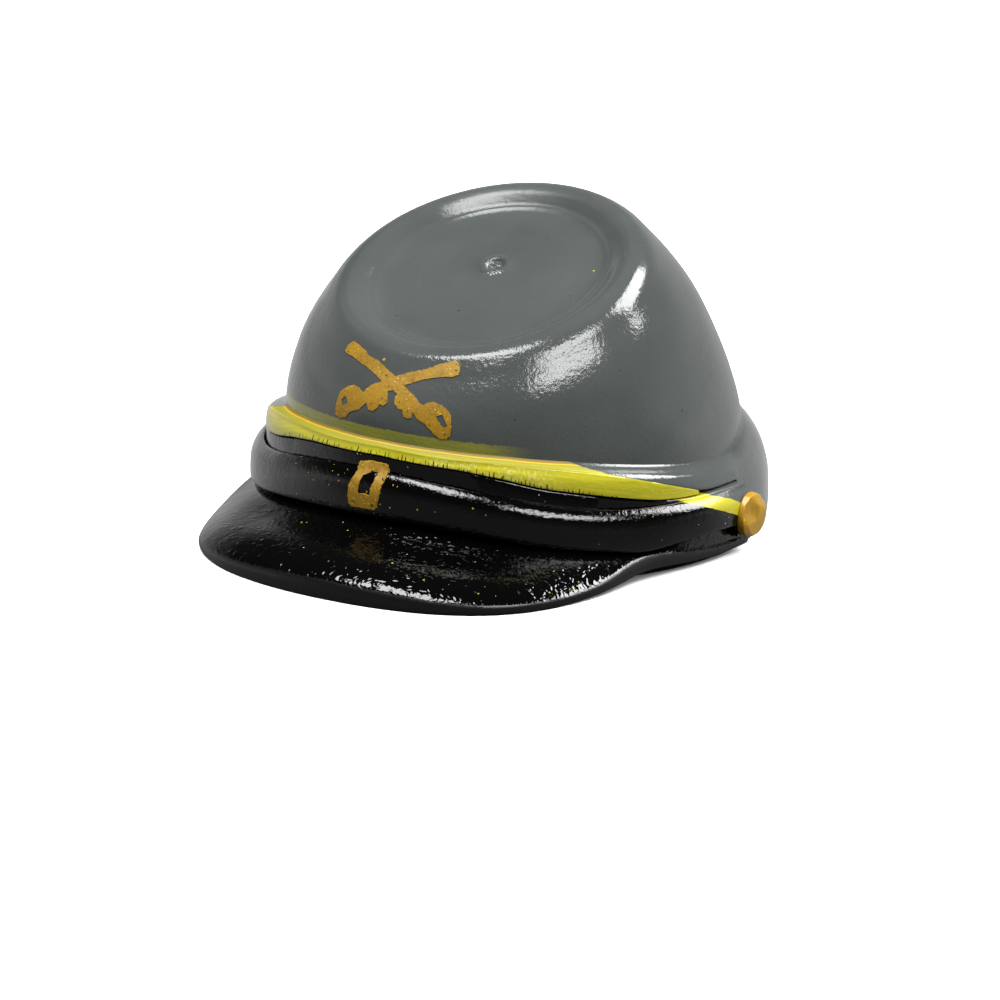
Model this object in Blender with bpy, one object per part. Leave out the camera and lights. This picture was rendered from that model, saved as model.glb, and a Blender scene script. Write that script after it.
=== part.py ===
"""Kepi cap of a small toy figure, 16 mm long, in glossy moulded plastic.

The crown leans forward and has a sunken disc for a top. A rolled band runs round its foot. The front of
the band carries a yellow piping, a black front band, a raised chin strap with a buckle between two side
buttons, and a short sloping peak. A badge of two crossed sabres lies on the front of the crown. Inside,
a tube hangs from the ceiling of the crown and grips the stud that the cap is worn on.

The cap stands on its rim and on the lower edge of the peak, which lie in one plane. +Z is up, the peak
points along -Y and the wearer's left is +X. Heights are measured from that plane.
"""

import math

import bmesh
import bpy
from mathutils import Vector
from mathutils.bvhtree import BVHTree

MM = 0.001

# ---- driving dimensions, in millimetres ---------------------------------------------------------------
GAP = 0.03  # between pieces that touch on the real cap

BORE_RADIUS = 5.2
LEDGE_HEIGHT = 2.1  # top of the band's inner ring, where the crown sits
RIM_RADIUS = 6.32  # the widest circle of the band, at the sides and the back
SHOULDER_RADIUS = 6.46  # the same circle across the front
FOOT_RADIUS = 6.30  # the foot of the front band
WEB = 0.13  # what is left of the band behind the piping and the front band

CREASE_RADIUS = 5.755  # circle in which the crown meets the band
CREASE_FORWARD = 0.34  # how far its centre lies in front of the bore's axis

STRAP_RADIUS = 6.86
STRAP_END = 93.5  # degrees from the front: strap and peak end there, under the side buttons
STRAP_NARROWING = 0.14  # how much thinner the strap is there
FRONT_END = STRAP_END + 0.3  # so far round the band is cut back for the pieces in front of it
PIPING_END = 78.0
PEAK_REACH = 9.16  # from the bore's axis to the front edge of the peak
PEAK_WALL = 0.62
PEAK_CORNER = 0.1  # rounding of its edge
PEAK_HOLLOW = 0.11  # how hollow the upper face is at the strap and how round at the edge, in front
PEAK_ROUND = 0.08  # how round the upper face is at the sides
WING = (45.0, 69.0)  # over these degrees the peak narrows to the ridge that runs on to the button

BUTTON_ANGLE = 91.5
BUTTON_HEIGHT = 0.97

BUCKLE_SIDE = -0.12  # buckle and badge are printed a little towards the wearer's right
BUCKLE_WIDTH = 0.9
BUCKLE_BAR = 0.2
BUCKLE_THICKNESS = 0.07

BADGE_THICKNESS = 0.06
BADGE_SIDE = -0.12
BADGE_FRONT = -5.58  # where the sabres cross: in front of the bore's axis, and its height
BADGE_HEIGHT = 4.76
BADGE_LEAN = math.radians(35.0)  # the wall leans back this far where they cross
SABRE_SLOPE = math.radians(30.0)
BADGE_MESH = 0.4  # spacing of the cuts that let the badge bend round the crown
BADGE_CUTS = 16
SMALLEST_EDGE = 0.02
FLAT = 0.01  # edges that bend less than this angle are dropped

SOCKET_BORE = 2.45
SOCKET_RADIUS = 3.05
SOCKET_FOOT = 2.4

STEP = 5.0  # degrees between sections round the cap

AXIS_Y = (PEAK_REACH - RIM_RADIUS) / 2  # the bore's axis, so that the cap's box is centred on the origin

# ---- tables: angle from the front in degrees, height in millimetres -----------------------------------
CREASE = ((0, 3.30), (15, 3.27), (30, 3.18), (45, 3.01), (60, 2.77), (80, 2.42), (100, 2.27),
          (123, 2.48), (150, 2.60), (180, 2.65))
PIPING_TOP = ((0, 3.20), (30, 3.08), (42, 2.94), (52, 2.76), (62, 2.48), (73, 2.08), (78, 1.88), (82, 1.81),
              (90, 1.78), (98, 1.70))
PIPING_FOOT = ((0, 3.03), (20, 2.92), (30, 2.74), (38, 2.51), (47, 2.34), (56, 2.14), (66, 1.91), (72, 1.84),
               (78, 1.81), (82, 1.80), (90, 1.77), (98, 1.69))
STRAP_TOP = ((0, 2.68), (11, 2.62), (20, 2.50), (33, 2.25), (42, 2.05), (51, 1.92), (61, 1.84), (70, 1.80),
             (78, 1.79), (84, 1.77), (90, 1.74), (98, 1.66))
STRAP_FOOT = ((0, 1.56), (10, 1.54), (21, 1.43), (29, 1.30), (37, 1.15), (46, 1.01), (54, 0.87), (59, 0.76),
              (63, 0.77), (68, 0.86), (75, 0.91), (84, 0.89), (98, 0.70))
PEAK_OUTLINE = ((0, PEAK_REACH), (15, 9.20), (20, 9.19), (25, 9.12), (30, 8.98), (35, 8.74), (40, 8.36),
                (45, 7.98), (50, 7.61), (54, 7.31), (58, 7.03), (61, 6.89), (65, 6.79), (70, 6.72),
                (78, 6.67), (98, 6.62))  # distance of its edge from the bore's axis
PEAK_EDGE = ((0, 0.55), (10, 0.50), (20, 0.40), (27, 0.32), (35, 0.28), (42, 0.29), (46, 0.33), (50, 0.41),
             (54, 0.55), (58, 0.67), (61, 0.69), (66, 0.65), (71, 0.59), (76, 0.52), (82, 0.44),
             (98, 0.38))  # upper corner
PEAK_FOOT = ((0, 0.0), (40, 0.0), (50, 0.11), (55, 0.20), (60, 0.30), (65, 0.28), (70, 0.24), (77, 0.20),
             (98, 0.16))  # lower corner

# share of the band's height, share of the way in from its widest circle to the crease
FRONT_ROLL = ((0.0, 0.0), (0.86, 0.0), (0.92, 0.08), (0.96, 0.28), (0.99, 0.67), (1.0, 1.0))
BACK_ROLL = ((0.0, 0.12), (0.05, 0.03), (0.2, 0.0), (0.45, 0.013), (0.67, 0.17), (0.80, 0.37), (0.91, 0.60),
             (1.0, 1.0))

# outline of the crown seen from the side: front y, front height, back y, back height of each circle
CROWN_OUTSIDE = (
    (-6.095, 2.13, 5.415, 2.13),
    (-6.100, 3.05, 5.400, 2.75),
    (-6.090, 3.55, 5.120, 3.75),
    (-6.030, 3.95, 4.580, 5.05),
    (-5.900, 4.30, 3.950, 6.20),
    (-5.700, 4.62, 3.340, 6.98),
    (-5.480, 4.90, 2.800, 7.53),
    (-5.290, 5.16, 2.420, 7.88),
    (-5.120, 5.36, 2.140, 8.00),
    (-4.900, 5.49, 1.880, 7.99),
)
# the sunken top, inwards from the crest of the rim: radius, depth below the crest, how far its centre is set
# back. The floor is a little domed, with a shallow ring round the middle and a small moulding mark
TOP_DISH = (
    (3.42, 0.04, 0.00), (3.20, 0.15, 0.00), (3.02, 0.25, 0.00), (2.84, 0.29, 0.00), (1.95, 0.22, 0.12),
    (1.83, 0.225, 0.12), (1.70, 0.20, 0.12), (0.42, 0.14, 0.28), (0.33, 0.10, 0.28), (0.20, 0.17, 0.28),
)
# inside of the crown, from its foot up: radius, height
CROWN_INSIDE = ((4.55, 2.13), (4.55, 3.20), (4.40, 4.20), (4.00, 4.90), (3.45, 5.20))
INSIDE_FORWARD = 0.2
CEILING = CROWN_INSIDE[-1][1]

BUTTON_SHAPE = ((0.52, 0.0), (0.52, 0.15), (0.46, 0.23), (0.26, 0.27))  # radius, height above the strap
# the buckle lies on the strap and bends in over the groove above it: height, radius of what lies behind
BUCKLE_BACK = ((1.78, 6.86), (2.21, 6.86), (2.41, 6.81), (2.58, 6.69), (2.68, 6.57), (2.86, 6.46))

# one sabre seen square on: distance from the crossing towards the hilt, distance below the blade's line
SABRE_OUTLINE = (
    (-1.88, 0.03), (-1.20, -0.04), (-0.50, -0.10), (0.25, -0.13), (0.60, -0.19), (1.14, -0.14),
    (1.28, -0.30), (1.52, -0.43), (1.80, -0.40), (2.02, -0.22), (2.09, 0.01), (1.98, 0.16),
    (1.60, 0.22), (0.40, 0.19), (0.20, 0.12), (-0.50, 0.13), (-1.20, 0.25), (-1.78, 0.40),
    (-1.93, 0.34), (-1.97, 0.16),
)
SABRE_HOLE = ((1.50, -0.17), (1.62, -0.29), (1.80, -0.26), (1.88, -0.13), (1.72, -0.07))
SABRE_STUDS = ((0.56, 0.29), (0.90, 0.28))
SABRE_STRETCH = {1: 1.0, -1: 0.91}  # the sabre whose hilt is on the wearer's right is printed shorter
STUD_RADIUS = 0.13
STUD_SIDES = 10


# ---- small tools ----------------------------------------------------------------------------------
def read(table, angle):
    """The table's value at an angle, the same to the left and to the right."""
    x = abs(angle)
    for (x0, y0), (x1, y1) in zip(table, table[1:]):
        if x <= x1:
            share = max(0.0, (x - x0) / (x1 - x0))
            return y0 + (y1 - y0) * share
    return table[-1][1]


def ease(low, high, x):
    share = min(1.0, max(0.0, (x - low) / (high - low)))
    return share * share * (3 - 2 * share)


def angles(last):
    """Angles from -last to last, a step apart at most."""
    count = math.ceil(2 * last / STEP)
    return [-last + 2 * last * i / count for i in range(count + 1)]


def place(angle, radius, height):
    """A point by its angle from the front, towards the wearer's left."""
    turn = math.radians(angle)
    return Vector((radius * math.sin(turn), AXIS_Y - radius * math.cos(turn), height))


def clear_scene():
    for thing in list(bpy.data.objects):
        bpy.data.objects.remove(thing, do_unlink=True)
    for mesh in list(bpy.data.meshes):
        bpy.data.meshes.remove(mesh)


def material(name, colour, roughness, metallic=0.0):
    made = bpy.data.materials.get(name) or bpy.data.materials.new(name)
    made.use_nodes = True
    shader = made.node_tree.nodes["Principled BSDF"]
    shader.inputs["Base Color"].default_value = (*colour, 1.0)
    shader.inputs["Roughness"].default_value = roughness
    shader.inputs["Metallic"].default_value = metallic
    made.diffuse_color = (*colour, 1.0)
    return made


def finish(name, shape, finish_material, sharp=35.0):
    """Turns a bmesh in millimetres into a smooth-shaded object in metres."""
    bmesh.ops.recalc_face_normals(shape, faces=shape.faces)
    bmesh.ops.scale(shape, vec=(MM, MM, MM), verts=shape.verts)
    mesh = bpy.data.meshes.new(name)
    shape.to_mesh(mesh)
    shape.free()
    mesh.shade_smooth()
    mesh.set_sharp_from_angle(angle=math.radians(sharp))
    mesh.materials.append(finish_material)
    made = bpy.data.objects.new(name, mesh)
    bpy.context.scene.collection.objects.link(made)
    return made


def loop_of(shape, points):
    """A closed loop of edges through the points."""
    verts = [shape.verts.new(p) for p in points]
    return [shape.edges.new((a, b)) for a, b in zip(verts, verts[1:] + verts[:1])]


def skin(shape, loops, closed=False):
    """Faces between each loop and the next. An open skin gets a face over each end."""
    pairs = list(zip(loops, loops[1:]))
    if closed:
        pairs.append((loops[-1], loops[0]))
    for near, far in pairs:
        for a, b in zip(near, far):
            shape.faces.new((a.verts[0], a.verts[1], b.verts[1], b.verts[0]))
    if not closed:
        for end in (loops[0], loops[-1]):
            shape.faces.new([edge.verts[0] for edge in end])


def swept(name, section, stations, finish_material, closed=False):
    """A solid whose section, (radius, height) pairs, is a function of the angle round the cap."""
    shape = bmesh.new()
    loops = [loop_of(shape, [place(a, r, h) for r, h in section(a)]) for a in stations]
    skin(shape, loops, closed)
    return finish(name, shape, finish_material)


# ---- the band and what it carries ---------------------------------------------------------------------
def crease_radius(angle):
    """Distance from the bore's axis to the crown's wall where the band meets it."""
    turn = math.radians(angle)
    across = CREASE_FORWARD * math.sin(turn)
    return CREASE_FORWARD * math.cos(turn) + math.sqrt(CREASE_RADIUS**2 - across**2)


def band_radius(angle, height):
    """Outer surface of the rolled band, from its foot up to the crease."""
    backward = ease(60, 115, abs(angle))
    share = height / read(CREASE, angle)
    inward = (1 - backward) * read(FRONT_ROLL, share) + backward * read(BACK_ROLL, share)
    widest = SHOULDER_RADIUS + (RIM_RADIUS - SHOULDER_RADIUS) * backward
    return widest - inward * (widest - crease_radius(angle) - GAP)


def web_radius(angle):
    return crease_radius(angle) + WEB


def band_section(angle):
    top = read(CREASE, angle)
    front = abs(angle) < FRONT_END
    lowered = ease(100, 125, abs(angle))
    cut = (1 - lowered) * (read(PIPING_TOP, angle) + GAP / 2) + lowered * 0.5 * top
    low = [(0.0, 0.12, 0.35, 0.68, 1.0), (0.0, 0.06, 0.3, 0.7, 0.98)][not front]
    points = []
    for share in low:
        height = share * cut
        points.append((web_radius(angle) if front else band_radius(angle, height), height))
    for share in (0.0, 0.35, 0.65, 0.88):
        height = cut + share * (top - cut)
        points.append((max(band_radius(angle, height), web_radius(angle) - 0.1 * share + 0.01), height))
    inner = crease_radius(angle) + GAP
    points.append((inner, top))
    points.append((inner, LEDGE_HEIGHT))
    points.append((BORE_RADIUS, LEDGE_HEIGHT))
    points.append((BORE_RADIUS, 0.0))
    return points


def make_band(grey):
    step = 0.05  # half the width of the side of the cut
    stations = [a for a in angles(180)[:-1] if abs(abs(a) - FRONT_END) > STEP / 3]
    stations += [side * (FRONT_END + d) for side in (-1, 1) for d in (-step, step)]
    return swept("band", band_section, sorted(stations), grey, closed=True)


def piping_section(angle):
    top, foot = read(PIPING_TOP, angle) - GAP / 2, read(PIPING_FOOT, angle) + GAP / 2
    inner = web_radius(angle) + GAP
    points = [(inner, foot)]
    for share in (0.0, 0.3, 0.6, 0.85, 1.0):
        height = foot + share * (top - foot)
        points.append((max(band_radius(angle, height), inner + 0.05), height))
    points.append((inner, top))
    return points


def front_band_section(angle):
    inner = web_radius(angle) + GAP
    top = read(PIPING_FOOT, angle) - GAP / 2
    face = SHOULDER_RADIUS - 0.01
    strap_foot, strap_top = read(STRAP_FOOT, angle), read(STRAP_TOP, angle)
    return [
        (inner, 0.0),
        (FOOT_RADIUS, 0.0),
        (face, 0.22),
        (face, 0.5 * strap_foot + 0.08),
        (face, strap_foot + 0.1),
        (face, 0.5 * (strap_foot + strap_top)),
        (face, strap_top - 0.02),
        (min(face, band_radius(angle, top)), top),
        (inner, top),
    ]


def strap_section(angle):
    foot, top = read(STRAP_FOOT, angle), read(STRAP_TOP, angle)
    inner = SHOULDER_RADIUS + GAP
    outer = STRAP_RADIUS - STRAP_NARROWING * ease(80, STRAP_END, abs(angle))
    tall = top - foot
    return [
        (inner, foot),
        (outer - 0.03, foot),
        (outer, foot + 0.08 * tall),
        (outer, top - 0.42 * tall),
        (outer - 0.06, top - 0.24 * tall),
        (outer - 0.18, top - 0.09 * tall),
        (inner + 0.07, top),
        (inner, top),
    ]


# ---- the peak -----------------------------------------------------------------------------------------
def peak_top(angle, share):
    """Height of the peak's upper face: hollow near the strap in front, round at the sides."""
    root, edge = read(STRAP_FOOT, angle) - GAP, read(PEAK_EDGE, angle)
    aside = ease(25, 45, abs(angle))
    fall = share + (1 - aside) * PEAK_HOLLOW * math.sin(2 * math.pi * share)
    fall -= aside * PEAK_ROUND * math.sin(math.pi * share)
    return root + (edge - root) * fall


def peak_section(angle):
    """Upper face outwards, the edge down, and the hollow underside back. At the sides it is a mere ridge."""
    root, reach = SHOULDER_RADIUS + GAP, read(PEAK_OUTLINE, angle)
    length = reach - root
    corner = min(PEAK_CORNER, 0.4 * length)
    slope = length - corner
    points = []
    for share in (0.0, 0.15, 0.35, 0.55, 0.75, 0.9):
        points.append((root + share * slope, peak_top(angle, share)))
    edge, foot = read(PEAK_EDGE, angle), read(PEAK_FOOT, angle)
    tall = edge - foot
    under = reach - 0.6 * corner
    points += [(reach - corner, edge), (reach - 0.2 * corner, edge - 0.3 * tall), (reach, edge - 0.6 * tall)]
    points += [(under, foot), (under - 0.18 * length, foot)]
    wall = PEAK_WALL * (1 - 0.4 * ease(*WING, abs(angle)))
    for share in (0.55, 0.25, 0.0):
        points.append((root + share * slope, max(foot, peak_top(angle, share) - wall)))
    return points


# ---- the crown ----------------------------------------------------------------------------------------
def circle(front, back, count=72):
    """Points of the circle through a front and a back point, (y, height) pairs from the bore's axis."""
    front, back = Vector(front), Vector(back)
    centre, radius = (front + back) / 2, (back - front).length / 2
    along = (back - front).normalized()
    points = []
    for i in range(count):
        turn = 2 * math.pi * i / count
        y, z = centre - along * radius * math.cos(turn)
        points.append(Vector((radius * math.sin(turn), AXIS_Y + y, z)))
    return points


def top_frame():
    """Centre of the rim's crest, the direction across the top disc and the direction out of it."""
    front_y, front_z, back_y, back_z = CROWN_OUTSIDE[-1]
    front, back = Vector((front_y, front_z)), Vector((back_y, back_z))
    across = (back - front).normalized()
    return (front + back) / 2, across, Vector((-across.y, across.x))


def make_crown(grey):
    shape = bmesh.new()
    rings = [circle(row[:2], row[2:]) for row in CROWN_OUTSIDE]
    centre, across, out = top_frame()
    for radius, depth, back in TOP_DISH:
        middle = centre - out * depth + across * back
        rings.append(circle(middle - across * radius, middle + across * radius))
    inside = []
    for radius, height in CROWN_INSIDE:
        inside.append(circle((-INSIDE_FORWARD - radius, height), (-INSIDE_FORWARD + radius, height)))
    loops = [loop_of(shape, ring) for ring in inside[::-1] + rings]
    skin(shape, loops)
    return finish("crown", shape, grey)


def make_stud_socket(grey):
    """The tube that grips the stud, hanging from the ceiling of the crown."""
    inner, outer, foot, top = SOCKET_BORE, SOCKET_RADIUS, SOCKET_FOOT, CEILING - GAP
    wall = ((inner, foot), (outer, foot), (outer, top), (inner, top))
    count = 36
    stations = [360 * i / count for i in range(count)]
    return swept("stud_socket", lambda angle: wall, stations, grey, closed=True)


# ---- the small metal-coloured pieces --------------------------------------------------------------------
def make_side_button(name, angle, gold):
    shape = bmesh.new()
    out = (place(angle, 1.0, 0.0) - place(angle, 0.0, 0.0)).normalized()
    along, up = Vector((-out.y, out.x, 0.0)), Vector((0.0, 0.0, 1.0))
    seat = place(angle, STRAP_RADIUS - STRAP_NARROWING * ease(80, STRAP_END, abs(angle)) + GAP, BUTTON_HEIGHT)
    count = 20
    loops = []
    for radius, rise in BUTTON_SHAPE:
        ring = []
        for i in range(count):
            turn = 2 * math.pi * i / count
            ring.append(seat + out * rise + (along * math.cos(turn) + up * math.sin(turn)) * radius)
        loops.append(loop_of(shape, ring))
    skin(shape, loops)
    return finish(name, shape, gold)


def make_buckle(gold):
    """An open rectangular frame that follows the strap's face."""
    half, bar = BUCKLE_WIDTH / 2, BUCKLE_BAR
    across = (-half, bar - half, 0.0, half - bar, half)
    window = (2.02, 2.68)
    heights = sorted(window + tuple(height for height, _ in BUCKLE_BACK if height not in window))
    shape = bmesh.new()
    grid = {}
    for i, side in enumerate(across):
        for j, height in enumerate(heights):
            radius = read(BUCKLE_BACK, height) + GAP
            turn = math.degrees((BUCKLE_SIDE + side) / STRAP_RADIUS)
            grid[i, j] = shape.verts.new(place(turn, radius, height))
    for i in range(len(across) - 1):
        for j in range(len(heights) - 1):
            open_here = 0 < i < len(across) - 2 and window[0] <= heights[j] < window[1]
            if not open_here:
                shape.faces.new((grid[i, j], grid[i + 1, j], grid[i + 1, j + 1], grid[i, j + 1]))
    loose = [v for v in shape.verts if not v.link_faces]
    bmesh.ops.delete(shape, geom=loose, context="VERTS")
    raised = bmesh.ops.extrude_face_region(shape, geom=shape.faces[:])["geom"]
    for vert in [g for g in raised if isinstance(g, bmesh.types.BMVert)]:
        vert.co.y -= BUCKLE_THICKNESS
    return finish("buckle", shape, gold)


def flat_plate(name, outline, side):
    """An upright plate in the XZ plane with the sabre's outline, for the hilt on the given side."""
    lean = Vector((math.cos(SABRE_SLOPE) * side, 0.0, -math.sin(SABRE_SLOPE))) * SABRE_STRETCH[side]
    below = Vector((-math.sin(SABRE_SLOPE) * side, 0.0, -math.cos(SABRE_SLOPE)))
    shape = bmesh.new()
    loops = []
    for y in (-1.0, 1.0):
        loops.append(loop_of(shape, [lean * s + below * q + Vector((0.0, y, 0.0)) for s, q in outline]))
    skin(shape, loops)
    bmesh.ops.recalc_face_normals(shape, faces=shape.faces)
    mesh = bpy.data.meshes.new(name)
    shape.to_mesh(mesh)
    shape.free()
    made = bpy.data.objects.new(name, mesh)
    bpy.context.scene.collection.objects.link(made)
    return made


def combine(target, tool, operation):
    """Applies one Boolean and removes the tool."""
    step = target.modifiers.new(operation.lower(), "BOOLEAN")
    step.operation = operation
    step.solver = "EXACT"
    step.object = tool
    graph = bpy.context.evaluated_depsgraph_get()
    result = bpy.data.meshes.new_from_object(target.evaluated_get(graph))
    target.modifiers.clear()
    target.data = result
    bpy.data.objects.remove(tool, do_unlink=True)


def sabre_sheet():
    """The front face of the two crossed sabres, flat, cut into cells small enough to bend."""
    plate = flat_plate("sabre_right", SABRE_OUTLINE, 1)
    combine(plate, flat_plate("sabre_left", SABRE_OUTLINE, -1), "UNION")
    for side in (-1, 1):
        for s, q in SABRE_STUDS:
            turns = [2 * math.pi * i / STUD_SIDES for i in range(STUD_SIDES)]
            stud = [(s + STUD_RADIUS * math.cos(t), q + STUD_RADIUS * math.sin(t)) for t in turns]
            combine(plate, flat_plate("stud", stud, side), "UNION")
        combine(plate, flat_plate("hole", SABRE_HOLE, side), "DIFFERENCE")
    sheet = bmesh.new()
    sheet.from_mesh(plate.data)
    bpy.data.objects.remove(plate, do_unlink=True)
    bmesh.ops.delete(sheet, geom=[f for f in sheet.faces if f.normal.y > -0.5], context="FACES")
    bmesh.ops.remove_doubles(sheet, verts=sheet.verts, dist=SMALLEST_EDGE)
    bmesh.ops.dissolve_limit(sheet, angle_limit=FLAT, verts=sheet.verts, edges=sheet.edges)
    for axis in (Vector((1, 0, 0)), Vector((0, 0, 1))):
        for i in range(BADGE_CUTS):
            cell = (i - (BADGE_CUTS - 1) / 2) * BADGE_MESH
            whole = sheet.verts[:] + sheet.edges[:] + sheet.faces[:]
            bmesh.ops.bisect_plane(sheet, geom=whole, dist=SMALLEST_EDGE, plane_co=axis * cell, plane_no=axis)
    bmesh.ops.triangulate(sheet, faces=sheet.faces)
    bmesh.ops.dissolve_degenerate(sheet, dist=SMALLEST_EDGE, edges=sheet.edges)
    bmesh.ops.triangulate(sheet, faces=sheet.faces)
    return sheet


def make_sabre_badge(crown, gold):
    """The sabres, hilts down, laid on the front of the crown, square to the wall where they cross."""
    sheet = sabre_sheet()
    tree = BVHTree.FromObject(crown, bpy.context.evaluated_depsgraph_get())
    centre = Vector((BADGE_SIDE, AXIS_Y + BADGE_FRONT, BADGE_HEIGHT))
    up = Vector((0.0, math.sin(BADGE_LEAN), math.cos(BADGE_LEAN)))
    inward = Vector((0.0, math.cos(BADGE_LEAN), -math.sin(BADGE_LEAN)))
    shape = bmesh.new()
    back, front = {}, {}
    for vert in sheet.verts:
        start = centre + Vector((vert.co.x, 0.0, 0.0)) + up * vert.co.z - inward * 3
        hit, normal, _, _ = tree.ray_cast(start * MM, inward)
        back[vert] = shape.verts.new(hit / MM + normal * GAP)
        front[vert] = shape.verts.new(hit / MM + normal * (GAP + BADGE_THICKNESS))
    for face in sheet.faces:
        shape.faces.new([front[v] for v in face.verts])
        shape.faces.new([back[v] for v in reversed(face.verts)])
    for a, b in [edge.verts for edge in sheet.edges if edge.is_boundary]:
        shape.faces.new((front[a], front[b], back[b], back[a]))
    sheet.free()
    return finish("sabre_badge", shape, gold, sharp=60.0)


def main():
    clear_scene()
    grey = material("grey_plastic", (0.098, 0.112, 0.118), 0.28)
    black = material("black_plastic", (0.006, 0.006, 0.007), 0.2)
    yellow = material("yellow_paint", (0.52, 0.47, 0.03), 0.3)
    gold = material("gold_paint", (0.52, 0.31, 0.06), 0.38, 0.5)
    crown = make_crown(grey)
    make_band(grey)
    swept("piping", piping_section, angles(PIPING_END), yellow)
    swept("front_band", front_band_section, angles(STRAP_END), black)
    swept("chin_strap", strap_section, angles(STRAP_END), black)
    swept("peak", peak_section, angles(STRAP_END), black)
    make_stud_socket(grey)
    make_buckle(gold)
    make_side_button("side_button_left", BUTTON_ANGLE, gold)
    make_side_button("side_button_right", -BUTTON_ANGLE, gold)
    make_sabre_badge(crown, gold)


main()
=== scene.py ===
"""Looks of the kepi cap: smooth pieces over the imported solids, paint and ink, studio and camera.

Lengths in the tables are in millimetres, heights from the surface that the cap rests on. Angles go round the
cap from the middle of its front, in degrees, towards the wearer's left. The peak points along -Y.
"""

import math

import bpy
from mathutils import Matrix, Vector


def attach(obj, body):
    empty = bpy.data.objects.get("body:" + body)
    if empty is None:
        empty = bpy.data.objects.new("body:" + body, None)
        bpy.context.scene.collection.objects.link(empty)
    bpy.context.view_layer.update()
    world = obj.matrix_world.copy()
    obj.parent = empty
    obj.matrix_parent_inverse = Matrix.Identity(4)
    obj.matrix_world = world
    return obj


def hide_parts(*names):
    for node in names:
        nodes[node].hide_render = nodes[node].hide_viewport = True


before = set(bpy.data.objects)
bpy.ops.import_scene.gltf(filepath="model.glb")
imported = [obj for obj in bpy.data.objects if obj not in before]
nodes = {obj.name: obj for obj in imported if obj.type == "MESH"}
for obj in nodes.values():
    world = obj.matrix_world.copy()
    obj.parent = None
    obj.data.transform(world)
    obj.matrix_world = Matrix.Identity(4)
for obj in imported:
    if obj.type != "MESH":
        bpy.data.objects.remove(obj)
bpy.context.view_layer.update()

MM = 0.001
AXIS_Y = 1.42  # the bore's axis
MAP_RADIUS = 6.0  # where a painted map has its true length

# ---- shapes ----
CROWN_SEGMENTS = 128
# outline of the crown seen from the side: front y, front height, back y, back height of each ring
CROWN_OUTSIDE = (
    (-6.095, 2.13, 5.415, 2.13),
    (-6.100, 3.05, 5.400, 2.75),
    (-6.090, 3.55, 5.120, 3.75),
    (-6.030, 3.95, 4.580, 5.05),
    (-5.900, 4.30, 3.950, 6.20),
    (-5.700, 4.62, 3.340, 6.98),
    (-5.480, 4.90, 2.800, 7.53),
    (-5.290, 5.16, 2.420, 7.88),
    (-5.120, 5.36, 2.140, 8.00),
    (-4.900, 5.49, 1.880, 7.99),
)
# the sunken top, inwards from the crest: radius, depth below the crest, how far its centre is set back.
# A fine ridge runs round the floor, a fainter one round its middle, and a moulding mark is at the centre
TOP_DISH = (
    (3.42, 0.04, 0.00), (3.20, 0.15, 0.00), (3.10, 0.205, 0.00), (3.04, 0.225, 0.00), (2.99, 0.234, 0.00),
    (2.94, 0.252, 0.00), (2.88, 0.272, 0.00), (2.78, 0.286, 0.01), (2.40, 0.264, 0.05), (1.98, 0.2255, 0.11),
    (1.90, 0.220, 0.12), (1.86, 0.2204, 0.12), (1.82, 0.217, 0.12), (1.70, 0.209, 0.13), (1.10, 0.178, 0.20),
    (0.48, 0.146, 0.27), (0.42, 0.130, 0.28), (0.35, 0.104, 0.28), (0.29, 0.100, 0.28), (0.25, 0.120, 0.28),
    (0.20, 0.170, 0.28), (0.10, 0.180, 0.28),
)
CROWN_INSIDE = ((3.45, 5.20), (4.00, 4.90), (4.40, 4.20), (4.55, 3.20), (4.55, 2.13))  # radius, height
INSIDE_FORWARD = 0.2
MARK_RADIUS = 0.44
MARK_ROUGHNESS = 0.009

BADGE_PLACE = (-0.12, AXIS_Y - 5.58, 4.76)
BADGE_LEAN = 35.0
INK = 0.014  # thickness of the gold ink on the crown
INK_LIFT = 0.004
INK_CELL = 0.13  # printed sheets are cut into cells of this size, so many to each side of their middle
INK_CUTS = 15
# outlines of the two sabres seen square on: side, up
SABRE_RIGHT_HILT = (
    (-1.84, 0.58), (-1.80, 0.74), (-1.68, 0.85), (-1.42, 0.77), (-1.14, 0.63), (-1.01, 0.52), (-0.65, 0.43),
    (-0.39, 0.30), (-0.10, 0.16), (0.11, 0.07), (0.33, -0.07), (0.51, -0.18), (0.74, -0.29), (0.93, -0.44),
    (1.03, -0.47), (1.15, -0.37), (1.30, -0.33), (1.49, -0.35), (1.68, -0.43), (1.80, -0.55), (1.86, -0.81),
    (1.85, -1.01), (1.75, -1.11), (1.60, -1.14), (1.43, -1.06), (1.18, -0.90), (0.96, -0.83), (0.87, -0.74),
    (0.81, -0.71), (0.80, -0.83), (0.69, -0.88), (0.57, -0.82), (0.51, -0.70), (0.38, -0.69), (0.24, -0.57),
    (0.22, -0.43), (0.26, -0.36), (0.15, -0.28), (-0.08, -0.15), (-0.28, -0.10), (-0.56, 0.05),
    (-0.92, 0.22), (-1.18, 0.30), (-1.46, 0.44), (-1.73, 0.50),
)
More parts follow.
